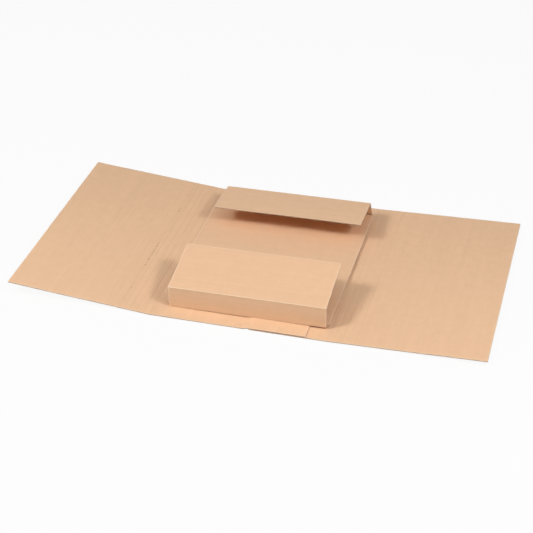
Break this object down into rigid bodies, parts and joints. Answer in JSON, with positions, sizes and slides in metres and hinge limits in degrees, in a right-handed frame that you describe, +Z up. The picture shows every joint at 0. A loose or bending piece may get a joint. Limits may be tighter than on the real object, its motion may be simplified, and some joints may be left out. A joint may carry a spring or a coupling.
{
  "type": "book mailer box",
  "caption": "Wrap-round corrugated mailer for books, lying open: an inner tray with two folded end walls and flaps, glued onto two outer sheets with creased wrap-over wings.",
  "frame": {"origin": "middle of the tray base in plan, on the surface that the open mailer lies on", "axes": "+X across the mailer to the right wing, +Y to the far end wall, +Z up"},
  "size_m": [0.7148, 0.384, 0.0555],
  "materials": {
    "kraft_board": "matte kraft liner",
    "strip_adhesive": "tacky film",
    "liner_paper": "smooth coated paper",
    "board_glue": "dried glue"
  },
  "bodies": {
    "mailer_base": {"left_sheet_base": "kraft_board", "right_sheet_base": "kraft_board", "tray_base": "kraft_board", "lap_glue": "board_glue", "tray_glue": "board_glue"},
    "left_side": {"left_side_panel": "kraft_board"},
    "left_wing": {"left_wing": "kraft_board"},
    "right_side": {"right_side_panel": "kraft_board"},
    "right_wing": {"right_wing": "kraft_board", "adhesive_strip": "strip_adhesive"},
    "release_liner": {"release_liner": "liner_paper"},
    "near_wall": {"near_wall": "kraft_board"},
    "near_flap": {"near_flap": "kraft_board"},
    "far_wall": {"far_wall": "kraft_board"},
    "far_flap": {"far_flap": "kraft_board"}
  },
  "joints": [
    {"name": "left_side_fold", "type": "hinge", "parent": "mailer_base", "child": "left_side", "pos_m": [-0.1325, 0, 0.0004], "axis": [0, 1, 0], "range_deg": [-5.1, 84.9]},
    {"name": "left_wing_fold", "type": "hinge", "parent": "left_side", "child": "left_wing", "pos_m": [-0.17234, 0, 0.00396], "axis": [0, 1, 0], "range_deg": [0, 88.4]},
    {"name": "right_side_fold", "type": "hinge", "parent": "mailer_base", "child": "right_side", "pos_m": [0.1325, 0, 0.0004], "axis": [0, -1, 0], "range_deg": [-1.6, 88.3]},
    {"name": "right_wing_fold", "type": "hinge", "parent": "right_side", "child": "right_wing", "pos_m": [0.17248, 0, 0.00159], "axis": [0, -1, 0], "range_deg": [0, 90]},
    {"name": "near_wall_fold", "type": "hinge", "parent": "mailer_base", "child": "near_wall", "pos_m": [0.00709, -0.1646, 0.00369], "axis": [-0.9999, 0, -0.0117], "range_deg": [-90, 0]},
    {"name": "near_flap_fold", "type": "hinge", "parent": "near_wall", "child": "near_flap", "pos_m": [0.0067, -0.1646, 0.03639], "axis": [-0.9999, 0, -0.0117], "range_deg": [-79.7, 10.3]},
    {"name": "far_wall_fold", "type": "hinge", "parent": "mailer_base", "child": "far_wall", "pos_m": [0.00709, 0.1646, 0.00369], "axis": [0.9999, 0, 0.0117], "range_deg": [-116.3, 0]},
    {"name": "far_flap_fold", "type": "hinge", "parent": "far_wall", "child": "far_flap", "pos_m": [0.00674, 0.15011, 0.033], "axis": [0.9999, 0, 0.0117], "range_deg": [-59.9, 3.8]},
    {"name": "release_liner_peel", "type": "slide", "parent": "right_wing", "child": "release_liner", "axis": [0, -1, 0], "range_m": [0, 0.37]}
  ]
}
